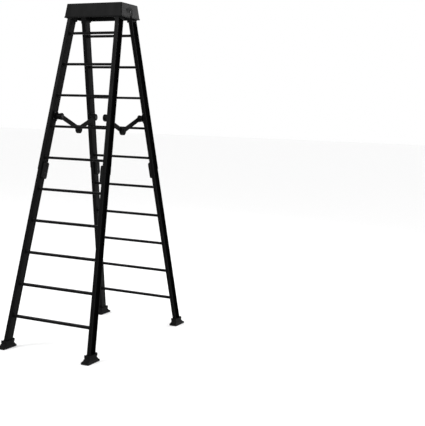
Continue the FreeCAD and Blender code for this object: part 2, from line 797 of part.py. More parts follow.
def make_soles(end):
    """The two rubber soles of one frame, with cross grooves."""
    label = f"{end}_foot_soles"
    x, y = foot_centre(dim("sole_thick"))
    solids = []
    for side, flip in (("right", 1), ("left", -1)):
        plate = box(f"{label}_{side}_plate", "{sole_width}", "{sole_depth}", "{sole_thick}",
                    move(flip * x - dim("sole_width") / 2, y - dim("sole_depth") / 2, 0))
        pitch = dim("sole_depth") / (TREAD_GROOVES + 1)
        groove_x = flip * x - dim("sole_width")
        grooves = []
        for number in range(1, TREAD_GROOVES + 1):
            groove_y = y - dim("sole_depth") / 2 + number * pitch - dim("groove_width") / 2
            grooves.append(box(f"{label}_{side}_groove_{number}", "2 * {sole_width}", "{groove_width}",
                               "{groove_depth}", move(groove_x, groove_y, 0)))
        solids.append(cut(f"{label}_{side}", plate, fuse(f"{label}_{side}_grooves", grooves)))
    group = doc.addObject("Part::Compound", label)
    group.Links = solids
    finish(group, label, HALF_TURN if end == "front" else None)


# ---------------------------------------------------------------- the whole ladder

def build():
    for end in ("front", "rear"):
        make_cap(end)
        for number in range(1, RUNGS_PER_FRAME + 1):
            make_rung(end, number)
        for side in ("left", "right"):
            make_rail(end, side, "upper")
            make_rail(end, side, "lower")
            make_tongue(end, side)
            make_button(end, side)
            make_spring(end, side)
            make_bracket(end, side)
            make_link(end, side)
            make_boot(end, side)
        make_pins(end)
        make_soles(end)
    for side in ("left", "right"):
        make_hinge_bolt(side)
    doc.recompute()


def check():
    for thing in doc.Objects:
        if "Invalid" in thing.State or "Error" in thing.State:
            raise RuntimeError(f"{thing.Name} failed: {thing.State}")
    for thing in finished:
        if thing.Shape.isNull() or not thing.Shape.isValid():
            raise RuntimeError(f"{thing.Label} has no valid shape")


def write():
    os.makedirs("parts", exist_ok=True)
    for thing in finished:
        thing.Shape.exportStep(os.path.join("parts", f"{thing.Label}.step"))
    print(len(finished), "nodes written")


build()
check()
write()
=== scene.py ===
import json
import math

import bmesh
import bpy
from bpy.props import FloatProperty, FloatVectorProperty, IntProperty, PointerProperty
from mathutils import Matrix, Vector

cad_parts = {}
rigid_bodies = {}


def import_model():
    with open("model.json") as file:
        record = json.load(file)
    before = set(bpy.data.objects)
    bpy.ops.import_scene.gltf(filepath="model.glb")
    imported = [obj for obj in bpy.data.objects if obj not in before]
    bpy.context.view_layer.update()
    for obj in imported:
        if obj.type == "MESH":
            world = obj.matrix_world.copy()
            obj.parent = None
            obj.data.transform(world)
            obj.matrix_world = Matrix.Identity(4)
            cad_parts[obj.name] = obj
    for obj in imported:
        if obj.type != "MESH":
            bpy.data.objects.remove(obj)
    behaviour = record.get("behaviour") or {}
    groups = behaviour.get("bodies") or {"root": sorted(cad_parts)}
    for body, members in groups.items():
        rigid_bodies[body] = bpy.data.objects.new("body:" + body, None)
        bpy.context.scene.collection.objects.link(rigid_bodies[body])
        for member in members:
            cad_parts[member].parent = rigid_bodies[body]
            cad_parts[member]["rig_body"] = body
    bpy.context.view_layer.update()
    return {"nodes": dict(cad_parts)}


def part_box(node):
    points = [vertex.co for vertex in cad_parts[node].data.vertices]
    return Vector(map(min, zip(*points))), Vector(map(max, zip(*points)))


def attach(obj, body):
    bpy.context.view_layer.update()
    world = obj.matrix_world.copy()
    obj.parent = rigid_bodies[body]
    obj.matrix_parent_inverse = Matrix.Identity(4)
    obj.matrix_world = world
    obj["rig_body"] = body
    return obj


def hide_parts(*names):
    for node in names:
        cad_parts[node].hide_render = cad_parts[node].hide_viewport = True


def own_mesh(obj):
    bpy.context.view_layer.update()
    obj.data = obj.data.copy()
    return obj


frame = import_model()

bl_info = {
    "name": "Folding Step Ladder",
    "version": (1, 0, 0),
    "blender": (4, 5, 0),
    "location": "3D View > Sidebar > Ladder",
    "description": "Builds the finished pieces of a double-sided folding step ladder around its frame",
    "category": "Add Mesh",
}

ENDS = ("front", "rear")
SIDES = {"left": -1.0, "right": 1.0}
LEGS = [(end, side) for end in ENDS for side in SIDES]
RUNG_COUNT = 10
X_AXIS = Vector((1, 0, 0))
Z_AXIS = Vector((0, 0, 1))
MERGE_DISTANCE = 2e-5
TINY = 1e-6
SAME_FACE = 2e-4
SHARP_ANGLE = math.radians(32)
FLAT_ANGLE = math.radians(0.5)
EDGE_ANGLE = math.radians(40)
STEEP_ANGLE = math.radians(60)
DOME_ANGLE = math.radians(50)
# How the cap's upright corners, top and foot are found among its edges
TALL_SHARE, END_SHARE, SIDE_SHARE = 0.8, 0.9, 0.8
SOCKET_DROP = 0.02
TOP_BAND, FOOT_BAND, NEAR = 1e-4, 1e-3, 2e-3
MADE_AT = "made_at"


# ---- sizes and colours

def length(name, description, default):
    return FloatProperty(name=name, description=description, default=default, unit="LENGTH", precision=5)


def share(name, description, default):
    return FloatProperty(name=name, description=description, default=default, min=0.0, max=1.0,
                         subtype="FACTOR", precision=3)


def colour(name, description, default):
    return FloatVectorProperty(name=name, description=description, default=default, subtype="COLOR",
                               size=3, min=0.0, max=1.0)


def pair(name, description, default):
    """Two lengths, along the rungs and across the channel."""
    return FloatVectorProperty(name=name, description=description, default=default, size=2,
                               unit="LENGTH", precision=5)


def turn(name, description, degrees):
    return FloatProperty(name=name, description=description, default=math.radians(degrees), unit="ROTATION")


class LadderRailSizes(bpy.types.PropertyGroup):
    """Section of the side rails"""
    wall: length("Wall", "Thickness of the web and the flanges", 0.0034)
    outer_round: length("Outer round", "Radius of the corners between web and flange", 0.0055)
    lip_depth: length("Lip depth", "Depth of the bead along each flange's free edge", 0.0075)
    lip_width: length("Lip width", "Width of that bead", 0.0055)
    groove_width: length("Groove width", "Width of the long grooves", 0.0044)
    groove_depth: length("Groove depth", "Depth of the long grooves", 0.0014)
    web_groove: share("Web groove", "Place of the web's groove across half the channel", 0.50)
    flange_groove_1: share("First flange groove", "Place of a groove across the flange", 0.36)
    flange_groove_2: share("Second flange groove", "Place of a groove across the flange", 0.66)
    hole_radius: length("Button hole", "Radius of the hole that the locking button shows through", 0.0175)


class LadderRungSizes(bpy.types.PropertyGroup):
    """Section of the rungs"""
    corner: length("Corner", "Radius of the rung's long corners", 0.006)
    wall: length("Wall", "Wall thickness seen at the open ends", 0.002)
    hollow: length("Hollow", "How deep the open ends are", 0.08)
    groove_pitch: length("Groove pitch", "Distance between the tread's grooves", 0.0056)
    groove_width: length("Groove width", "Width of one groove at the tread", 0.0028)
    groove_depth: length("Groove depth", "Depth of one groove", 0.0013)
    groove_count: IntProperty(name="Grooves", description="Number of grooves along the tread",
                              default=5, min=1)
    collar_rim: length("Collar rim", "How far the pressed collar stands around the rung", 0.0042)
    collar_thick: length("Collar thickness", "Thickness of the pressed collar", 0.004)
    collar_taper: share("Collar taper", "Share of the rim and thickness left by the collar's slope", 0.55)
    collar_sink: length("Collar sink", "How far the collar sinks into the web", 0.0005)


class LadderCapSizes(bpy.types.PropertyGroup):
    """Details of the two cap halves"""
    corner: length("Corner", "Radius of the upright corners", 0.009)
    top_edge: length("Top edge", "Radius of the top's edges", 0.0035)
    seam_notch: length("Seam notch", "Radius of the top's edge along the seam", 0.011)
    rim_height: length("Rim height", "Height of the bead around the foot of the cap", 0.011)
    rim_thick: length("Rim thickness", "How far the bead stands out", 0.003)
    rim_gap: length("Rim gap", "Where the bead stops short of the seam, to leave room for folding", 0.0165)
    rib_thick: length("Rib thickness", "Thickness of the ribs under the top", 0.003)
    rib_depth: length("Rib depth", "How far the ribs hang below the top", 0.03)
    rib_count: IntProperty(name="Ribs", description="Number of ribs under each half", default=7, min=1)
    rib_start: length("Rib start", "Distance from the seam to the ribs across the half", 0.012)
    rib_reach: share("Rib reach", "How far those ribs reach across the half", 0.84)
    rib_spread: share("Rib spread", "How far the ribs spread along the cap", 0.82)
    long_rib_1: share("First long rib", "Place across the half", 0.3)
    long_rib_2: share("Second long rib", "Place across the half", 0.6)
    long_rib_depth: share("Long rib depth", "Depth as a share of the other ribs' depth", 0.8)
    top_thick: length("Top thickness", "Thickness of the cap's top", 0.006)
    rim_lap: length("Rim lap", "How far the bead is let into the wall", 0.0005)
    rim_round: share("Rim round", "Rounding of the bead as a share of its thickness", 0.45)
    rib_lap: length("Rib lap", "How far the ribs are let into the top", 0.003)


class LadderBootSizes(bpy.types.PropertyGroup):
    """Details of the four foot boots. Reach is measured out from the rail's faces."""
    pad_edge: length("Pad edge", "Height of the pad's upright edge", 0.010)
    pad_round: length("Pad round", "Rounding of the pad's lower edge", 0.002)
    pad_corner: length("Pad corner", "Radius of the pad's corners", 0.005)
    skirt_rise: length("Skirt rise", "Height of the step from the pad to the skirt", 0.004)
    skirt_in: pair("Skirt in", "How far the skirt starts inside the pad", (0.004, 0.008))
    skirt_corner: length("Skirt corner", "Radius of the skirt's lower corners", 0.006)
    skirt_reach: pair("Skirt reach", "Reach of the skirt below the waist", (0.014, 0.034))
    waist_corner: length("Waist corner", "Radius of the corners below the waist", 0.007)
    waist_height: length("Waist height", "Height at which the skirt meets the collar", 0.034)
    waist_half: length("Waist half", "Half the height of the bend at the waist", 0.006)
    waist_reach: pair("Waist reach", "Reach of the collar above the waist", (0.0115, 0.025))
    collar_reach: pair("Collar reach", "Reach of the collar below its rim", (0.009, 0.019))
    rim_height: length("Rim height", "Height of the collar's top rim", 0.009)
    rim_step: length("Rim step", "Height of the slope below the rim", 0.004)
    rim_reach: pair("Rim reach", "Reach of the top rim", (0.0112, 0.0202))
    rim_round: length("Rim round", "Rounding of the rim's upper edge", 0.001)
    ear_rise: length("Ear rise", "How far the rim's two ears stand up", 0.017)
    ear_start: share("Ear start", "Where the ears start, across the channel", 0.80)
    ear_out: length("Ear out", "How far the ears lean out", 0.004)
    ear_reach: length("Ear reach", "Where the ears have their full height, out from the rail", 0.017)
    corner: length("Corner", "Radius of the collar's corners", 0.008)
    wall: length("Wall", "Gap line between the collar and the rail", 0.0008)
    mouth_corner: length("Mouth corner", "Radius of the opening's corners", 0.004)
    mouth_slope: pair("Mouth slope", "Widening of the opening at the top", (0.0015, 0.002))
    mouth_slope_deep: length("Mouth slope depth", "Depth of the opening's slope", 0.003)
    mouth_depth: length("Mouth depth", "How deep the gap line goes", 0.030)


class LadderEdgeSizes(bpy.types.PropertyGroup):
    """Edge radii of the smaller fittings"""
    tongue: length("Tongue edge", "Radius of the splice tongues' edges", 0.0035)
    bracket: length("Bracket edge", "Radius of the spreader brackets' edges", 0.0015)
    link: length("Link edge", "Radius of the spreader links' edges", 0.0016)
    small: length("Small edge", "Radius of the edges of pins, bolts and soles", 0.0008)
    rivet_radius: length("Rivet radius", "Radius of a rivet head", 0.0062)
    rivet_rise: length("Rivet rise", "How far a rivet head stands out", 0.0026)
    tongue_rivet_side: length("Tongue rivets", "Half the distance between a pair of rivets", 0.014)
    low_rivets: share("Lower rivets", "Place of a pair, from the tongue's middle to its foot", 0.75)
    high_rivets: share("Upper rivets", "Place of a pair, from the tongue's middle to its foot", 0.3)
    plate_rivet_end: length("Plate rivet end", "Distance from the plate's ends to its rivets", 0.013)
    plate_rivet_side: length("Plate rivet side", "Distance from the plate's sides to its rivets", 0.012)
    plate_thick: length("Plate thickness", "Thickness of the bracket's plate", 0.006)


class LadderColours(bpy.types.PropertyGroup):
    """Colours of the finishes"""
    coat: colour("Coat", "Powder coat on rails and rungs", (0.0022, 0.0022, 0.0023))
    tread: colour("Tread", "Scuffed crests of the tread", (0.016, 0.016, 0.0165))
    moulding: colour("Moulding", "Moulded cap, boots and tongues", (0.0027, 0.0027, 0.0028))
    rubber: colour("Rubber", "Rubber soles", (0.0035, 0.0035, 0.0035))
    steel: colour("Steel", "Blackened bolts, pins and rivets", (0.020, 0.020, 0.021))
    wire: colour("Wire", "Bright spring wire", (0.42, 0.42, 0.44))
    floor: colour("Floor", "Studio floor", (0.96, 0.96, 0.96))


class LadderStage(bpy.types.PropertyGroup):
    """Camera and studio"""
    eye: FloatVectorProperty(name="Eye", description="Where the camera stands", size=3, unit="LENGTH",
                             default=(4.518, -6.888, 2.215))
    heading: turn("Heading", "Direction of view from +Y towards +X", -25.44)
    tilt: turn("Tilt", "Direction of view above the horizon", -6.588)
    roll: turn("Roll", "Turn of the camera about its view", 1.775)
    lens: FloatProperty(name="Lens", description="Focal length in millimetres on a 36 mm sensor",
                        default=70.17, unit="CAMERA")
    floor_size: length("Floor size", "Side of the square studio floor", 160.0)


# ---- the frame's own lines

def span(points):
    """Lowest and highest corner of the box around some points."""
    low = Vector([min(point[axis] for point in points) for axis in range(3)])
    high = Vector([max(point[axis] for point in points) for axis in range(3)])
    return low, high


def local_points(node, place):
    """The vertices of a CAD node, in the coordinates of place."""
    inverse = place.inverted()
    return [inverse @ vertex.co for vertex in frame["nodes"][node].data.vertices]


def local_span(node, place):
    """Lowest and highest corner of a CAD node, in the coordinates of place."""
    return span(local_points(node, place))


def node_centre(node):
    low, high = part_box(node)
    return (low + high) / 2


def place_from(origin, x_dir, y_dir, z_dir):
    place = Matrix((x_dir, y_dir, z_dir)).transposed().to_4x4()
    place.translation = origin
    return place


def rail_place(end, side):
    """Rail coordinates: X outwards from the web's inner face, Y across the channel, Z up along the rail.
    They start where the rail's line meets the floor."""
    first = node_centre(f"{end}_rung_01")
    last = node_centre(f"{end}_rung_{RUNG_COUNT:02d}")
    up = (last - first).normalized()
    pitch = (last - first).length / (RUNG_COUNT - 1)
    shrink = half_length(f"{end}_rung_01") - half_length(f"{end}_rung_{RUNG_COUNT:02d}")
    splay = math.atan(shrink / (last - first).length)
    outward = SIDES[side] * X_AXIS * math.cos(splay) + up * math.sin(splay)
    along = up * math.cos(splay) - SIDES[side] * X_AXIS * math.sin(splay)
    across = along.cross(outward)
    place = place_from(first - up * pitch, outward, across, along)
    low, high = local_span(f"{end}_{side}_lower_rail", place)
    shift = Vector((low.x, (low.y + high.y) / 2, 0))
    place.translation = place @ shift
    return place


def half_length(node):
    low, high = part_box(node)
    return (high.x - low.x) / 2


# ---- mesh helpers

def mark_places(bm):
    """Keeps each vertex's place before the piece is put in its own place, for patterns that follow it."""
    layer = bm.verts.layers.float_vector.get(MADE_AT) or bm.verts.layers.float_vector.new(MADE_AT)
    for vertex in bm.verts:
        vertex[layer] = vertex.co


def outline_face(bm, points):
    return bm.faces.new([bm.verts.new(point) for point in points])


def round_corners(bm, corners, radius, segments=4):
    bmesh.ops.bevel(bm, geom=corners, offset=radius, offset_type="OFFSET", segments=segments,
                    profile=0.5, affect="VERTICES", clamp_overlap=True, material=-1)


def round_edges(bm, edges, radius, segments=2, clamp=False):
    bmesh.ops.bevel(bm, geom=edges, offset=radius, offset_type="OFFSET", segments=segments,
                    profile=0.5, affect="EDGES", clamp_overlap=clamp, material=-1)


def extruded(bm, face, step):
    """Grows a face into a closed prism."""
    grown = bmesh.ops.extrude_face_region(bm, geom=[face])
    moved = [item for item in grown["geom"] if isinstance(item, bmesh.types.BMVert)]
    bmesh.ops.translate(bm, vec=step, verts=moved)
    bmesh.ops.recalc_face_normals(bm, faces=bm.faces)


def sharp_edges(bm, angle):
    return [edge for edge in bm.edges if len(edge.link_faces) == 2 and edge.calc_face_angle(0.0) > angle]


def ring(bm, centre, half_x, half_y, radius, steps=3):
    """A level rounded rectangle of edges. Rings with the same number of steps can be bridged."""
    verts = []
    quarter = math.pi / 2
    for corner, (sign_x, sign_y) in enumerate(((1, 1), (-1, 1), (-1, -1), (1, -1))):
        middle = centre + Vector((sign_x * (half_x - radius), sign_y * (half_y - radius), 0))
        for step in range(steps + 1):
            angle = quarter * (corner + step / steps)
            verts.append(bm.verts.new(middle + radius * Vector((math.cos(angle), math.sin(angle), 0))))
    return [bm.edges.new((verts[index], verts[index - 1])) for index in range(len(verts))]


def bridged(bm, rings):
    for lower, upper in zip(rings, rings[1:]):
        bmesh.ops.bridge_loops(bm, edges=lower + upper)


def block(bm, low, high, place):
    """A closed box between two corners, in the coordinates of place."""
    made = bmesh.ops.create_cube(bm, size=1.0)["verts"]
    size = Vector(high) - Vector(low)
    centre = (Vector(low) + Vector(high)) / 2
    shape = Matrix.Translation(centre) @ Matrix.Diagonal(size.to_4d())
    bmesh.ops.transform(bm, matrix=place @ shape, verts=made)


def disc(bm, place, radius, depth, segments):
    """A closed round bar about the Z of place, from 0 to depth."""
    bmesh.ops.create_cone(bm, cap_ends=True, cap_tris=False, segments=segments, radius1=radius,
                          radius2=radius, depth=depth, matrix=place @ Matrix.Translation((0, 0, depth / 2)))


def mesh_from(name, bm):
    mesh = bpy.data.meshes.new(name)
    bm.to_mesh(mesh)
    bm.free()
    return mesh


def added(name, data):
    """A new object in the scene."""
    thing = bpy.data.objects.new(name, data)
    bpy.context.scene.collection.objects.link(thing)
    return thing


def finished(name, bm, look, node):
    """Turns a bmesh into a piece that stands for a CAD node and rides on its body."""
    return placed(name, mesh_from(name, bm), look, node)


def placed(name, mesh, look, node):
    mesh.shade_smooth()
    mesh.set_sharp_from_angle(angle=SHARP_ANGLE)
    mesh.materials.clear()
    mesh.materials.append(finish(look))
    piece = added(name, mesh)
    even = piece.modifiers.new("even_shading", "WEIGHTED_NORMAL")
    even.mode = "FACE_AREA"
    even.weight = 100
    even.keep_sharp = True
    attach(piece, frame["nodes"][node]["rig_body"])
    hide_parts(node)
    return piece


def merged_copy(node):
    """A bmesh of a CAD node with its loose triangles joined into clean faces."""
    bm = bmesh.new()
    bm.from_mesh(frame["nodes"][node].data)
    bmesh.ops.remove_doubles(bm, verts=bm.verts, dist=MERGE_DISTANCE)
    bmesh.ops.dissolve_limit(bm, angle_limit=FLAT_ANGLE, verts=bm.verts, edges=bm.edges)
    return bm


def softened(node, name, look, radius, segments=2):
    """A piece of the same shape as a CAD node, with its sharp edges rounded."""
    bm = merged_copy(node)
    round_edges(bm, sharp_edges(bm, EDGE_ANGLE), radius, segments, clamp=True)
    mark_places(bm)
    return finished(name, bm, look, node)


def carved(base, tool):
    """The mesh of one bmesh with another taken away from it."""
    holders = [added(label, mesh_from(label, bm)) for label, bm in (("base", base), ("tool", tool))]
    cut = holders[0].modifiers.new("cut", "BOOLEAN")
    cut.operation = "DIFFERENCE"
    cut.solver = "EXACT"
    cut.object = holders[1]
    graph = bpy.context.evaluated_depsgraph_get()
    mesh = bpy.data.meshes.new_from_object(holders[0].evaluated_get(graph))
    for holder in holders:
        bpy.data.objects.remove(holder)
    return mesh


# ---- finishes

class FinishMaker:
    """Adds the nodes of one material, left to right."""

    def __init__(self, name, colour, roughness, specular, metallic=0.0, as_made=True):
        self.material = bpy.data.materials.new(name)
        self.material.use_nodes = True
        self.nodes = self.material.node_tree.nodes
        self.links = self.material.node_tree.links
        self.shader = self.nodes["Principled BSDF"]
        self.give(self.shader, {"Base Color": (*colour, 1.0), "Roughness": roughness,
                                "Specular IOR Level": specular, "Metallic": metallic})
        self.height = None
        # Where a point is on the piece, as it was made, or in its object's coordinates
        if as_made:
            self.places = self.add("ShaderNodeAttribute", attribute_name=MADE_AT).outputs["Vector"]
        else:
            self.places = self.add("ShaderNodeTexCoord").outputs["Object"]

    def give(self, node, values):
        for key, value in values.items():
            node.inputs[key].default_value = value

    def add(self, kind, values=None, **settings):
        """A new node with the values of its inputs and its other settings."""
        node = self.nodes.new(kind)
        for key, value in settings.items():
            setattr(node, key, value)
        self.give(node, values or {})
        return node

    def noise(self, scale, detail=2.0, roughness=0.5, stretch=None):
        source = self.places
        if stretch:
            mapping = self.add("ShaderNodeMapping", {"Scale": stretch})
            self.links.new(source, mapping.inputs["Vector"])
            source = mapping.outputs["Vector"]
        node = self.add("ShaderNodeTexNoise", {"Scale": scale, "Detail": detail, "Roughness": roughness})
        self.links.new(source, node.inputs["Vector"])
        return node.outputs["Fac"]

    def remap(self, value, source, target):
        """Moves the range between the two source values to the one between the two target values."""
        ends = ("From Min", "From Max", "To Min", "To Max")
        node = self.add("ShaderNodeMapRange", dict(zip(ends, source + target)))
        self.links.new(value, node.inputs["Value"])
        return node.outputs["Result"]

    def product(self, first, second):
        node = self.add("ShaderNodeMath", operation="MULTIPLY")
        self.links.new(first, node.inputs[0])
        self.links.new(second, node.inputs[1])
        return node.outputs["Value"]

    def bump(self, value, strength, distance):
        node = self.add("ShaderNodeBump", {"Strength": strength, "Distance": distance})
        self.links.new(value, node.inputs["Height"])
        if self.height is not None:
            self.links.new(self.height, node.inputs["Normal"])
        self.height = node.outputs["Normal"]
        self.links.new(self.height, self.shader.inputs["Normal"])

    def roughness_from(self, value, source, target):
        self.links.new(self.remap(value, source, target), self.shader.inputs["Roughness"])

    def tint(self, factor, first, second):
        """Colours the surface from first to second as factor goes from 0 to 1."""
        mix = self.add("ShaderNodeMix", {6: (*first, 1.0), 7: (*second, 1.0)}, data_type="RGBA")
        self.links.new(factor, mix.inputs[0])
        self.links.new(mix.outputs[2], self.shader.inputs["Base Color"])


def brighter(colour, factor):
    return tuple(min(1.0, channel * factor) for channel in colour)


def coat(name, colour, line_scale, line_strength):
    """The start of a powder coat over an extrusion: an orange-peel skin and faint die lines."""
    maker = FinishMaker(name, colour, roughness=0.42, specular=0.04)
    maker.bump(maker.noise(scale=1400.0, detail=2.0), strength=0.22, distance=0.00012)
    lines = maker.noise(scale=1.0, detail=3.0, stretch=line_scale)
    maker.bump(lines, strength=line_strength, distance=0.00010)
    return maker


def coated_metal(name, colour, line_scale):
    """The coat with a few rubbed places."""
    maker = coat(name, colour, line_scale, line_strength=0.30)
    patches = maker.noise(scale=7.0, detail=4.0, roughness=0.6)
    maker.roughness_from(patches, (0.35, 0.65), (0.36, 0.50))
    rubs = maker.noise(scale=55.0, detail=6.0, roughness=0.7)
    rubbed = maker.remap(rubs, (0.60, 0.78), (0.0, 0.55))
    maker.tint(rubbed, colour, brighter(colour, 2.2))
    return maker.material


def tread_metal(name, colour, scuffed, line_scale, crest):
    """The same coat, rubbed lighter on the crests of the tread, which are higher than crest."""
    maker = coat(name, colour, line_scale, line_strength=0.25)
    split = maker.add("ShaderNodeSeparateXYZ")
    maker.links.new(maker.places, split.inputs["Vector"])
    rub_depth = 0.0006
    high = maker.remap(split.outputs["Z"], (crest - rub_depth, crest), (0.0, 1.0))
    wear = maker.remap(maker.noise(scale=38.0, detail=6.0, roughness=0.65), (0.36, 0.66), (0.10, 1.0))
    maker.tint(maker.product(high, wear), colour, scuffed)
    maker.roughness_from(maker.noise(scale=9.0, detail=3.0), (0.35, 0.65), (0.36, 0.50))
    return maker.material


def moulded(name, colour, roughness, grain=950.0, depth=0.00022):
    """Injection-moulded plastic: a spark-eroded grain, soft flow marks and small scuffs."""
    maker = FinishMaker(name, colour, roughness=roughness, specular=0.055)
    cells = maker.add("ShaderNodeTexVoronoi", {"Scale": grain}, feature="SMOOTH_F1")
    maker.links.new(maker.places, cells.inputs["Vector"])
    maker.bump(cells.outputs["Distance"], strength=0.35, distance=depth)
    maker.bump(maker.noise(scale=18.0, detail=2.0), strength=0.20, distance=0.0006)
    flow = maker.noise(scale=1.0, detail=4.0, roughness=0.6, stretch=(5.0, 5.0, 1.2))
    spread = 0.07
    maker.roughness_from(flow, (0.35, 0.65), (roughness - spread, roughness + spread))
    scuffs = maker.noise(scale=70.0, detail=8.0, roughness=0.75)
    maker.tint(maker.remap(scuffs, (0.60, 0.80), (0.0, 0.6)), colour, brighter(colour, 2.4))
    return maker.material


def rubber(name, colour):
    maker = FinishMaker(name, colour, roughness=0.8, specular=0.1)
    maker.bump(maker.noise(scale=800.0, detail=3.0), strength=0.4, distance=0.0003)
    dust = maker.remap(maker.noise(scale=24.0, detail=5.0, roughness=0.7), (0.45, 0.75), (0.0, 1.0))
    maker.tint(dust, colour, brighter(colour, 4.0))
    return maker.material


def blackened_steel(name, colour):
    maker = FinishMaker(name, colour, roughness=0.36, specular=0.5, metallic=0.85)
    maker.bump(maker.noise(scale=900.0, detail=2.0), strength=0.2, distance=0.0001)
    maker.roughness_from(maker.noise(scale=60.0, detail=3.0), (0.35, 0.65), (0.28, 0.46))
    worn = maker.remap(maker.noise(scale=140.0, detail=5.0), (0.5, 0.8), (0.0, 1.0))
    maker.tint(worn, colour, brighter(colour, 2.5))
    return maker.material


def spring_wire(name, colour):
    maker = FinishMaker(name, colour, roughness=0.25, specular=0.5, metallic=1.0, as_made=False)
    maker.bump(maker.noise(scale=2500.0, detail=2.0), strength=0.15, distance=0.00005)
    maker.roughness_from(maker.noise(scale=300.0, detail=2.0), (0.3, 0.7), (0.18, 0.34))
    return maker.material


def floor_paint(name, colour):
    maker = FinishMaker(name, colour, roughness=0.75, specular=0.2, as_made=False)
    maker.roughness_from(maker.noise(scale=2.0, detail=3.0), (0.3, 0.7), (0.7, 0.8))
    return maker.material


def finish(name):
    """A material by name, made when it is first asked for."""
    found = bpy.data.materials.get(name)
    if found:
        return found
    colours = bpy.context.scene.ladder_colours
    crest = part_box("front_rung_01")[1].z - node_centre("front_rung_01").z
    makers = {
        "rail_coat": (coated_metal, colours.coat, (700.0, 700.0, 3.0)),
        "fitting_coat": (coated_metal, colours.coat, (40.0, 40.0, 40.0)),
        "tread_coat": (tread_metal, colours.coat, colours.tread, (3.0, 900.0, 900.0), crest),
        "cap_moulding": (moulded, colours.moulding, 0.50),
        "boot_moulding": (moulded, colours.moulding, 0.56, 800.0, 0.0003),
        "tongue_moulding": (moulded, colours.moulding, 0.48),
        "button_moulding": (moulded, colours.moulding, 0.34, 1800.0, 0.00008),
        "sole_rubber": (rubber, colours.rubber),
        "black_steel": (blackened_steel, colours.steel),
        "spring_wire": (spring_wire, colours.wire),
        "studio_floor": (floor_paint, colours.floor),
    }
    make, *settings = makers[name]
    return make(name, *settings)


# ---- rails

def groove(centre, width, depth, along_x):
    """The four points of a shallow groove. It is cut into the face x=0, or from above if along_x."""
    half, floor = width / 2, width / 4
    marks = ((-half, 0.0), (-floor, depth), (floor, depth), (half, 0.0))
    if along_x:
        return [(centre + step, -deep) for step, deep in marks]
    return [(deep, centre + step) for step, deep in marks]


def rail_outline(width, half_depth, sizes):
    """Points of the channel's section above its middle line, from the web's inner face to its outer face."""
    wall = sizes.wall
    cut = (sizes.groove_width, sizes.groove_depth)
    inner_web = groove(sizes.web_groove * half_depth, *cut, along_x=False)
    flange = [(x, half_depth + y) for along in (sizes.flange_groove_1, sizes.flange_groove_2)
              for x, y in groove(along * width, *cut, along_x=True)]
    outside = [(0.0, half_depth)] + flange + [(width, half_depth)]
    inside = [
        (width, half_depth - sizes.lip_depth),
        (width - sizes.lip_width, half_depth - sizes.lip_depth),
        (width - sizes.lip_width, half_depth - wall),
        (wall, half_depth - wall),
    ]
    return inner_web + outside + inside


def make_rail(end, side, section):
    sizes = bpy.context.scene.ladder_rails
    node = f"{end}_{side}_{section}_rail"
    place = rail_place(end, side)
    low, high = local_span(node, place)
    if section == "upper":
        low.z = local_span(f"{end}_{side}_lower_rail", place)[1].z
    width, half_depth = high.x, high.y
    upper_half = rail_outline(width, half_depth, sizes)
    lower_half = [(x, -y) for x, y in reversed(upper_half)]
    bm = bmesh.new()
    outline_face(bm, [Vector((x, y, low.z)) for x, y in upper_half + lower_half])
    outer = [vertex for vertex in bm.verts
             if vertex.co.x < TINY and abs(vertex.co.y) > half_depth - TINY]
    inner = [vertex for vertex in bm.verts if abs(vertex.co.x - sizes.wall) < TINY
             and abs(abs(vertex.co.y) - (half_depth - sizes.wall)) < TINY]
    lips = [vertex for vertex in bm.verts if vertex.co.x > width - TINY]
    round_corners(bm, outer, sizes.outer_round)
    round_corners(bm, inner, sizes.outer_round - sizes.wall)
    round_corners(bm, lips, sizes.wall / 3, segments=3)
    extruded(bm, bm.faces[:][0], Vector((0, 0, high.z - low.z)))
    mark_places(bm)
    bmesh.ops.transform(bm, matrix=place, verts=bm.verts)
    name = f"{end}_{side}_{section}_extrusion"
    if section == "lower":
        return finished(name, bm, "rail_coat", node)
    button_low, button_high = local_span(f"{end}_{side}_lock_button", place)
    tool = bmesh.new()
    centre = Vector((-width / 2, (button_low.y + button_high.y) / 2, (button_low.z + button_high.z) / 2))
    disc(tool, Matrix.Translation(centre) @ Matrix.Rotation(math.pi / 2, 4, "Y"),
         sizes.hole_radius, width, segments=48)
    mark_places(tool)
    bmesh.ops.transform(tool, matrix=place, verts=tool.verts)
    return placed(name, carved(bm, tool), "rail_coat", node)


# ---- rungs

def rung_outline(half_depth, half_height, sizes):
    """The rung's section, with grooves along its tread."""
    tread = []
    middle = (sizes.groove_count - 1) / 2
    for number in range(sizes.groove_count):
        centre = (middle - number) * sizes.groove_pitch
        for y, z in reversed(groove(centre, sizes.groove_width, sizes.groove_depth, along_x=True)):
            tread.append((y, half_height + z))
    return ([(-half_depth, -half_height), (half_depth, -half_height), (half_depth, half_height)]
            + tread + [(-half_depth, half_height)])


def collar(bm, half_depth, half_height, sizes, start, step):
    """A pressed ring around the rung, flat against the web."""
    turn = Matrix.Rotation(math.pi / 2, 4, "Y") @ Matrix.Rotation(math.pi / 2, 4, "Z")
    before = set(bm.verts)
    rim = sizes.collar_rim
    slope = rim * sizes.collar_taper
    rings = [
        ring(bm, Vector((0, 0, 0)), half_depth, half_height, sizes.corner),
        ring(bm, Vector((0, 0, 0)), half_depth + rim, half_height + rim, sizes.corner + rim),
        ring(bm, Vector((0, 0, step * sizes.collar_taper)), half_depth + rim, half_height + rim,
             sizes.corner + rim),
        ring(bm, Vector((0, 0, step)), half_depth + slope, half_height + slope, sizes.corner + slope),
        ring(bm, Vector((0, 0, step)), half_depth, half_height, sizes.corner),
    ]
    bridged(bm, rings + rings[:1])
    made = [vertex for vertex in bm.verts if vertex not in before]
    bmesh.ops.transform(bm, matrix=Matrix.Translation((start, 0, 0)) @ turn, verts=made)


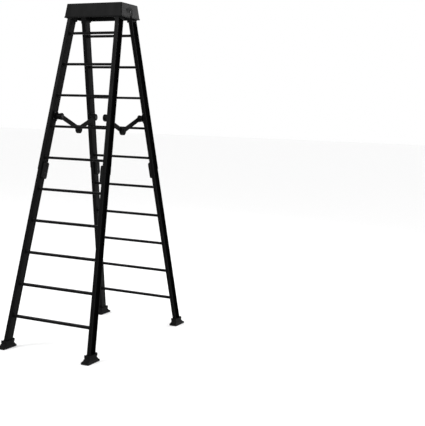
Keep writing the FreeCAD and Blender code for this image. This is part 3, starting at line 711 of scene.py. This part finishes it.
def make_rung(end, number):
    sizes = bpy.context.scene.ladder_rungs
    node = f"{end}_rung_{number:02d}"
    low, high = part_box(node)
    centre, half = (low + high) / 2, (high - low) / 2
    bm = bmesh.new()
    points = rung_outline(half.y, half.z, sizes)
    outline_face(bm, [Vector((-half.x, y, z)) for y, z in points])
    corners = [vertex for vertex in bm.verts if abs(vertex.co.y) > half.y - TINY]
    round_corners(bm, corners, sizes.corner)
    extruded(bm, bm.faces[:][0], Vector((2 * half.x, 0, 0)))
    ends = [face for face in bm.faces if abs(abs(face.calc_center_median().x) - half.x) < TINY]
    for face in ends:
        inward = -sizes.hollow * face.normal.normalized()
        bmesh.ops.inset_region(bm, faces=[face], thickness=sizes.wall, use_even_offset=True)
        deep = bmesh.ops.extrude_discrete_faces(bm, faces=[face])["faces"][0]
        bmesh.ops.translate(bm, vec=inward, verts=deep.verts)
    web_inner = half.x - stand_past_web(end)
    for sign in (-1, 1):
        start = sign * (web_inner + sizes.collar_sink)
        collar(bm, half.y, half.z, sizes, start, -sign * sizes.collar_thick)
    bmesh.ops.recalc_face_normals(bm, faces=bm.faces)
    mark_places(bm)
    bmesh.ops.translate(bm, vec=centre, verts=bm.verts)
    return finished(f"{end}_tread_{number:02d}", bm, "tread_coat", node)


def stand_past_web(end):
    """How far a rung's end stands out past the inner face of the web that it goes through."""
    return local_span(f"{end}_rung_01", rail_place(end, "right"))[1].x


# ---- cap

def cap_place(end):
    """The rear half is made in place, and the front half is the same turned half a turn."""
    return Matrix() if end == "rear" else Matrix.Rotation(math.pi, 4, "Z")


def make_cap(end):
    sizes = bpy.context.scene.ladder_cap
    node = f"{end}_cap"
    low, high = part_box(node)
    sign = 1.0 if end == "rear" else -1.0
    bm = merged_copy(node)

    def upright_corner(edge):
        first, second = (vertex.co for vertex in edge.verts)
        tall = abs(first.z - second.z) > TALL_SHARE * (high.z - low.z - SOCKET_DROP)
        middle = (first + second) / 2
        return (tall and abs(middle.x) > END_SHARE * high.x
                and sign * middle.y > SIDE_SHARE * max(high.y, -low.y))

    def reach(edge):
        return max(abs(vertex.co.x) for vertex in edge.verts)

    def top_edge(edge):
        return all(vertex.co.z > high.z - TOP_BAND for vertex in edge.verts)

    def at_seam(edge):
        return all(abs(vertex.co.y) < NEAR for vertex in edge.verts)

    uprights = [edge for edge in sharp_edges(bm, EDGE_ANGLE) if upright_corner(edge)]
    outer = max(reach(edge) for edge in uprights)
    corners = [edge for edge in uprights if reach(edge) > outer - NEAR]
    round_edges(bm, corners, sizes.corner, segments=5)
    seam = [edge for edge in sharp_edges(bm, EDGE_ANGLE) if top_edge(edge) and at_seam(edge)]
    round_edges(bm, seam, sizes.seam_notch, segments=4)
    rest = [edge for edge in sharp_edges(bm, STEEP_ANGLE) if top_edge(edge) and not at_seam(edge)]
    round_edges(bm, rest, sizes.top_edge, segments=3)
    bmesh.ops.remove_doubles(bm, verts=bm.verts, dist=MERGE_DISTANCE)
    add_cap_rim(bm, end, sizes)
    add_cap_ribs(bm, end, low, high, sizes)
    mark_places(bm)
    return finished(f"{end}_cap_moulding", bm, "cap_moulding", node)


def add_cap_rim(bm, end, sizes):
    """A rounded bead around the foot of the cap half."""
    place = cap_place(end)
    reach_x = max(vertex.co.x for vertex in bm.verts)
    reach_y = max(abs(vertex.co.y) for vertex in bm.verts)
    foot = min(vertex.co.z for vertex in bm.verts if vertex.co.x > reach_x - FOOT_BAND)
    start, back, side = sizes.rim_gap, reach_y - sizes.rim_lap, reach_x - sizes.rim_lap
    before = set(bm.verts)
    path = [Vector((-side, start, foot)), Vector((-side, back, foot)),
            Vector((side, back, foot)), Vector((side, start, foot))]
    verts = [bm.verts.new(point) for point in path]
    edges = [bm.edges.new(pair) for pair in zip(verts, verts[1:])]
    round_corners(bm, verts[1:3], sizes.corner, segments=5)
    fresh = [vertex for vertex in bm.verts if vertex not in before]
    edges = list({edge for vertex in fresh for edge in vertex.link_edges})
    grown = bmesh.ops.extrude_edge_only(bm, edges=edges)["geom"]
    top = [item for item in grown if isinstance(item, bmesh.types.BMVert)]
    bmesh.ops.translate(bm, vec=(0, 0, sizes.rim_height), verts=top)
    wall = list({face for vertex in top for face in vertex.link_faces})
    centre = Vector((0, 0, foot))
    for face in wall:
        if face.normal.dot(face.calc_center_median() - centre) < 0:
            face.normal_flip()
    bmesh.ops.solidify(bm, geom=wall, thickness=-sizes.rim_thick)
    fresh = [vertex for vertex in bm.verts if vertex not in before]
    bmesh.ops.transform(bm, matrix=place, verts=fresh)
    faces = list({face for vertex in fresh for face in vertex.link_faces})
    bmesh.ops.recalc_face_normals(bm, faces=faces)
    rim = [edge for edge in {edge for face in faces for edge in face.edges}
           if edge.calc_face_angle(0.0) > STEEP_ANGLE]
    round_edges(bm, rim, sizes.rim_thick * sizes.rim_round, segments=3)


def add_cap_ribs(bm, end, low, high, sizes):
    """Thin ribs under the top, across each half."""
    place = cap_place(end)
    reach_y = max(high.y, -low.y)
    ceiling = high.z - sizes.top_thick
    top = ceiling + sizes.rib_lap
    spread = sizes.rib_spread * high.x
    for number in range(sizes.rib_count):
        x = spread * (2 * number / (sizes.rib_count - 1) - 1)
        block(bm, (x - sizes.rib_thick / 2, sizes.rib_start, ceiling - sizes.rib_depth),
              (x + sizes.rib_thick / 2, reach_y * sizes.rib_reach, top), place)
    for part in (sizes.long_rib_1, sizes.long_rib_2):
        y = part * reach_y
        block(bm, (-spread, y, ceiling - sizes.rib_depth * sizes.long_rib_depth),
              (spread, y + sizes.rib_thick, top), place)


# ---- boots

def line_point(place, across, height):
    """The point at a height above the floor on the rail line that is across from the web's inner face."""
    start = place @ Vector((across, 0, 0))
    along = place.to_3x3() @ Z_AXIS
    return start + along * ((height - start.z) / along.z)


def boot_levels(bottom, top, pad, rail, sizes):
    """Height, half sizes and corner radius of each ring of the boot, from the pad up, over the rim and
    down into the gap round the rail."""
    def grown(half, reach):
        return half[0] + reach[0], half[1] + reach[1]

    def even(half, step):
        return grown(half, (step, step))

    pad_top = bottom + sizes.pad_edge
    skirt = (pad[0] - sizes.skirt_in[0], pad[1] - sizes.skirt_in[1])
    rim, mouth = grown(rail, sizes.rim_reach), even(rail, sizes.wall)
    return [
        (bottom, even(pad, -sizes.pad_round), sizes.pad_corner),
        (bottom + sizes.pad_round, pad, sizes.pad_corner),
        (pad_top, pad, sizes.pad_corner),
        (pad_top + sizes.skirt_rise, skirt, sizes.skirt_corner),
        (sizes.waist_height - sizes.waist_half, grown(rail, sizes.skirt_reach), sizes.waist_corner),
        (sizes.waist_height + sizes.waist_half, grown(rail, sizes.waist_reach), sizes.corner),
        (top - sizes.rim_height - sizes.rim_step, grown(rail, sizes.collar_reach), sizes.corner),
        (top - sizes.rim_height, rim, sizes.corner),
        (top - sizes.rim_round, rim, sizes.corner),
        (top, even(rim, -sizes.rim_round), sizes.corner),
        (top, grown(mouth, sizes.mouth_slope), sizes.mouth_corner),
        (top - sizes.mouth_slope_deep, (mouth[0], mouth[1] + sizes.mouth_slope[1] / 2), sizes.mouth_corner),
        (top - sizes.mouth_depth, mouth, sizes.mouth_corner),
    ]


def make_boot(end, side):
    sizes = bpy.context.scene.ladder_boots
    node = f"{end}_{side}_foot_boot"
    low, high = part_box(node)
    place = rail_place(end, side)
    rail_high = local_span(f"{end}_{side}_lower_rail", place)[1]
    across = rail_high.x / 2
    foot = line_point(place, across, low.z)
    pad = (high - low) / 2
    levels = boot_levels(low.z, high.z, (pad.x, pad.y), (across, rail_high.y), sizes)
    bm = bmesh.new()
    rings = []
    for level, half, radius in levels:
        centre = line_point(place, across, max(level, low.z + sizes.pad_edge))
        if level <= low.z + sizes.pad_edge:
            centre = Vector((foot.x, foot.y, level))
        rings.append(ring(bm, Vector((centre.x, centre.y, level)), *half, radius))
    bridged(bm, rings)
    bmesh.ops.holes_fill(bm, edges=[edge for edge in bm.edges if edge.is_boundary], sides=0)
    bmesh.ops.recalc_face_normals(bm, faces=bm.faces)
    raise_ears(bm, place, across, high.z, rail_high.y + sizes.ear_reach, sizes)
    mark_places(bm)
    return finished(f"{end}_{side}_boot_moulding", bm, "boot_moulding", node)


def raise_ears(bm, place, across, top, reach, sizes):
    """Lifts the rim at its two ends across the channel, where the boot has its pull ears."""
    for vertex in bm.verts:
        if vertex.co.z < top - sizes.rim_height - sizes.rim_round / 2:
            continue
        centre = line_point(place, across, vertex.co.z)
        part = abs(vertex.co.y - centre.y) / reach
        lift = max(0.0, min(1.0, (part - sizes.ear_start) / (1 - sizes.ear_start)))
        if vertex.co.z > top - 2 * sizes.rim_round:
            vertex.co.z += lift * sizes.ear_rise
        vertex.co.y += math.copysign(lift * sizes.ear_out, vertex.co.y - centre.y)


# ---- splices, spreaders and small fittings

def make_splice(end, side):
    edges = bpy.context.scene.ladder_edges
    base = f"{end}_{side}"
    softened(f"{base}_splice_tongue", f"{base}_tongue_moulding", "tongue_moulding", edges.tongue, segments=3)
    softened(f"{base}_lock_button", f"{base}_button_moulding", "button_moulding", edges.small)
    make_coil(end, side)


def make_coil(end, side):
    """The button's return spring."""
    base = f"{end}_{side}"
    node = f"{base}_button_spring"
    place = rail_place(end, side)
    bm = merged_copy(node)
    mark_places(bm)
    piece = finished(f"{base}_coil_spring", bm, "spring_wire", node)
    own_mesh(piece)


def make_spreader(end, side):
    edges = bpy.context.scene.ladder_edges
    base = f"{end}_{side}"
    softened(f"{base}_spreader_link", f"{base}_link_bar", "fitting_coat", edges.link)
    softened(f"{base}_spreader_bracket", f"{base}_bracket_plate", "fitting_coat", edges.bracket)


def dome(bm, place, radius, rise):
    """A shallow round rivet head on the XY plane of place."""
    made = bmesh.ops.create_uvsphere(bm, u_segments=20, v_segments=10, radius=1.0)["verts"]
    lower = [vertex for vertex in made if vertex.co.z < -TINY]
    bmesh.ops.delete(bm, geom=lower, context="VERTS")
    made = [vertex for vertex in made if vertex.is_valid]
    shape = place @ Matrix.Diagonal((radius, radius, rise, 1.0))
    bmesh.ops.transform(bm, matrix=shape, verts=made)
    base = [edge for edge in {edge for vertex in made for edge in vertex.link_edges} if edge.is_boundary]
    bmesh.ops.holes_fill(bm, edges=base, sides=0)


def face_place(place, x, y, z, outward):
    """A place on a rail whose Z points outwards from the web (1) or inwards to the rungs (-1)."""
    turn = Matrix.Rotation(outward * math.pi / 2, 4, "Y")
    return place @ Matrix.Translation((x, y, z)) @ turn


def make_rivets(end):
    """The rivet heads of one frame: four through each tongue's lower half and four round each bracket."""
    edges = bpy.context.scene.ladder_edges
    bm = bmesh.new()
    for side in SIDES:
        place = rail_place(end, side)
        tongue_low, tongue_high = local_span(f"{end}_{side}_splice_tongue", place)
        middle = (tongue_low.z + tongue_high.z) / 2
        for part in (edges.high_rivets, edges.low_rivets):
            z = middle - part * (middle - tongue_low.z)
            for y in (-edges.tongue_rivet_side, edges.tongue_rivet_side):
                dome(bm, face_place(place, tongue_low.x, y, z, -1), edges.rivet_radius, edges.rivet_rise)
        plate_low, plate_high = bracket_plate_span(end, side, place, edges.plate_thick)
        for z in (plate_low.z + edges.plate_rivet_end, plate_high.z - edges.plate_rivet_end):
            for y in (plate_low.y + edges.plate_rivet_side, plate_high.y - edges.plate_rivet_side):
                dome(bm, face_place(place, plate_low.x, y, z, -1), edges.rivet_radius, edges.rivet_rise)
    mark_places(bm)
    bmesh.ops.recalc_face_normals(bm, faces=bm.faces)
    mesh = mesh_from(f"{end}_rivet_heads", bm)
    mesh.shade_smooth()
    mesh.set_sharp_from_angle(angle=DOME_ANGLE)
    mesh.materials.append(finish("black_steel"))
    piece = added(f"{end}_rivet_heads", mesh)
    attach(piece, f"{end}_side")


def bracket_plate_span(end, side, place, thickness):
    """The box of the bracket's plate, which is its part against the web."""
    points = local_points(f"{end}_{side}_spreader_bracket", place)
    top = max(point.x for point in points)
    low, high = span([point for point in points if point.x > top - SAME_FACE])
    low.x = high.x - thickness
    return low, high


# ---- operators

class LADDER_OT_rails(bpy.types.Operator):
    """Make the eight extruded side rails"""
    bl_idname = "ladder.rails"
    bl_label = "Side Rails"

    def execute(self, context):
        for end, side in LEGS:
            make_rail(end, side, "upper")
            make_rail(end, side, "lower")
        return {"FINISHED"}


class LADDER_OT_rungs(bpy.types.Operator):
    """Make the twenty rungs with their grooved treads"""
    bl_idname = "ladder.rungs"
    bl_label = "Rungs"

    def execute(self, context):
        for end in ENDS:
            for number in range(1, RUNG_COUNT + 1):
                make_rung(end, number)
        return {"FINISHED"}


class LADDER_OT_cap(bpy.types.Operator):
    """Make the two halves of the hinged cap and their bolts"""
    bl_idname = "ladder.cap"
    bl_label = "Hinged Cap"

    def execute(self, context):
        for end in ENDS:
            make_cap(end)
        edges = context.scene.ladder_edges
        for side in SIDES:
            softened(f"{side}_hinge_bolt", f"{side}_bolt_and_nut", "black_steel", edges.small)
        return {"FINISHED"}


class LADDER_OT_splices(bpy.types.Operator):
    """Make the splice tongues, their locking buttons and springs"""
    bl_idname = "ladder.splices"
    bl_label = "Splices"

    def execute(self, context):
        for end, side in LEGS:
            make_splice(end, side)
        return {"FINISHED"}


class LADDER_OT_spreaders(bpy.types.Operator):
    """Make the spreader links, their brackets and pins"""
    bl_idname = "ladder.spreaders"
    bl_label = "Spreaders"

    def execute(self, context):
        edges = context.scene.ladder_edges
        for end in ENDS:
            for side in SIDES:
                make_spreader(end, side)
            softened(f"{end}_spreader_pins", f"{end}_pivot_pins", "black_steel", edges.small)
        return {"FINISHED"}


class LADDER_OT_feet(bpy.types.Operator):
    """Make the moulded boots and their rubber soles"""
    bl_idname = "ladder.feet"
    bl_label = "Feet"

    def execute(self, context):
        edges = context.scene.ladder_edges
        for end in ENDS:
            for side in SIDES:
                make_boot(end, side)
            softened(f"{end}_foot_soles", f"{end}_rubber_soles", "sole_rubber", edges.small)
        return {"FINISHED"}


class LADDER_OT_rivets(bpy.types.Operator):
    """Make the rivet heads of both frames"""
    bl_idname = "ladder.rivets"
    bl_label = "Rivets"

    def execute(self, context):
        for end in ENDS:
            make_rivets(end)
        return {"FINISHED"}


class LADDER_OT_stage(bpy.types.Operator):
    """Make the floor, the soft lights and the camera"""
    bl_idname = "ladder.stage"
    bl_label = "Studio"

    def execute(self, context):
        make_floor(context.scene.ladder_stage)
        make_lights()
        make_camera(context.scene.ladder_stage)
        return {"FINISHED"}


# ---- studio

def make_floor(stage):
    bm = bmesh.new()
    bmesh.ops.create_grid(bm, x_segments=1, y_segments=1, size=stage.floor_size / 2)
    mesh = mesh_from("studio_floor", bm)
    mesh.materials.append(finish("studio_floor"))
    floor = added("studio_floor", mesh)


def soft_light(name, place, aim, size, power):
    light = bpy.data.lights.new(name, "AREA")
    light.shape = "DISK"
    light.size = size
    light.energy = power
    holder = added(name, light)
    holder.location = place
    holder.rotation_euler = (Vector(aim) - Vector(place)).to_track_quat("-Z", "Y").to_euler()


def make_lights():
    world = bpy.data.worlds.new("studio")
    world.use_nodes = True
    world.node_tree.nodes["Background"].inputs["Color"].default_value = (1.0, 1.0, 1.0, 1.0)
    world.node_tree.nodes["Background"].inputs["Strength"].default_value = 1.0
    bpy.context.scene.world = world
    bpy.context.scene.view_settings.view_transform = "Standard"
    middle = (0.0, 0.0, 1.6)
    soft_light("key_light", (-4.5, -6.0, 6.5), middle, size=3.0, power=300.0)
    soft_light("fill_light", (6.5, -3.0, 4.0), middle, size=3.5, power=130.0)
    soft_light("back_light", (2.0, 7.0, 5.5), middle, size=3.0, power=170.0)


def make_camera(stage):
    camera = bpy.data.cameras.new("view")
    camera.sensor_width = 36.0
    camera.lens = stage.lens
    camera.clip_end = 500.0
    holder = added("view", camera)
    forward = Vector((math.sin(stage.heading) * math.cos(stage.tilt),
                      math.cos(stage.heading) * math.cos(stage.tilt), math.sin(stage.tilt)))
    level_right = forward.cross(Z_AXIS).normalized()
    level_up = level_right.cross(forward)
    right = math.cos(stage.roll) * level_right + math.sin(stage.roll) * level_up
    up = math.cos(stage.roll) * level_up - math.sin(stage.roll) * level_right
    holder.matrix_world = place_from(Vector(stage.eye), right, up, -forward)
    bpy.context.scene.camera = holder


# ---- panel and registration

OPERATORS = (LADDER_OT_rails, LADDER_OT_rungs, LADDER_OT_cap, LADDER_OT_splices, LADDER_OT_spreaders,
             LADDER_OT_feet, LADDER_OT_rivets, LADDER_OT_stage)
SETTINGS = {
    "ladder_rails": LadderRailSizes,
    "ladder_rungs": LadderRungSizes,
    "ladder_cap": LadderCapSizes,
    "ladder_boots": LadderBootSizes,
    "ladder_edges": LadderEdgeSizes,
    "ladder_colours": LadderColours,
    "ladder_stage": LadderStage,
}


class LADDER_PT_panel(bpy.types.Panel):
    """Lists the ladder's pieces"""
    bl_idname = "LADDER_PT_panel"
    bl_label = "Ladder"
    bl_space_type = "VIEW_3D"
    bl_region_type = "UI"
    bl_category = "Ladder"

    def draw(self, context):
        for operator in OPERATORS:
            self.layout.operator(operator.bl_idname)


def register():
    for name, group in SETTINGS.items():
        bpy.utils.register_class(group)
        setattr(bpy.types.Scene, name, PointerProperty(type=group))
    for operator in OPERATORS:
        bpy.utils.register_class(operator)
    bpy.utils.register_class(LADDER_PT_panel)


def unregister():
    bpy.utils.unregister_class(LADDER_PT_panel)
    for operator in reversed(OPERATORS):
        bpy.utils.unregister_class(operator)
    for name, group in reversed(SETTINGS.items()):
        delattr(bpy.types.Scene, name)
        bpy.utils.unregister_class(group)


def main():
    register()
    bpy.ops.ladder.rails()
    bpy.ops.ladder.rungs()
    bpy.ops.ladder.cap()
    bpy.ops.ladder.splices()
    bpy.ops.ladder.spreaders()
    bpy.ops.ladder.feet()
    bpy.ops.ladder.rivets()
    bpy.ops.ladder.stage()


if __name__ == "__main__":
    main()
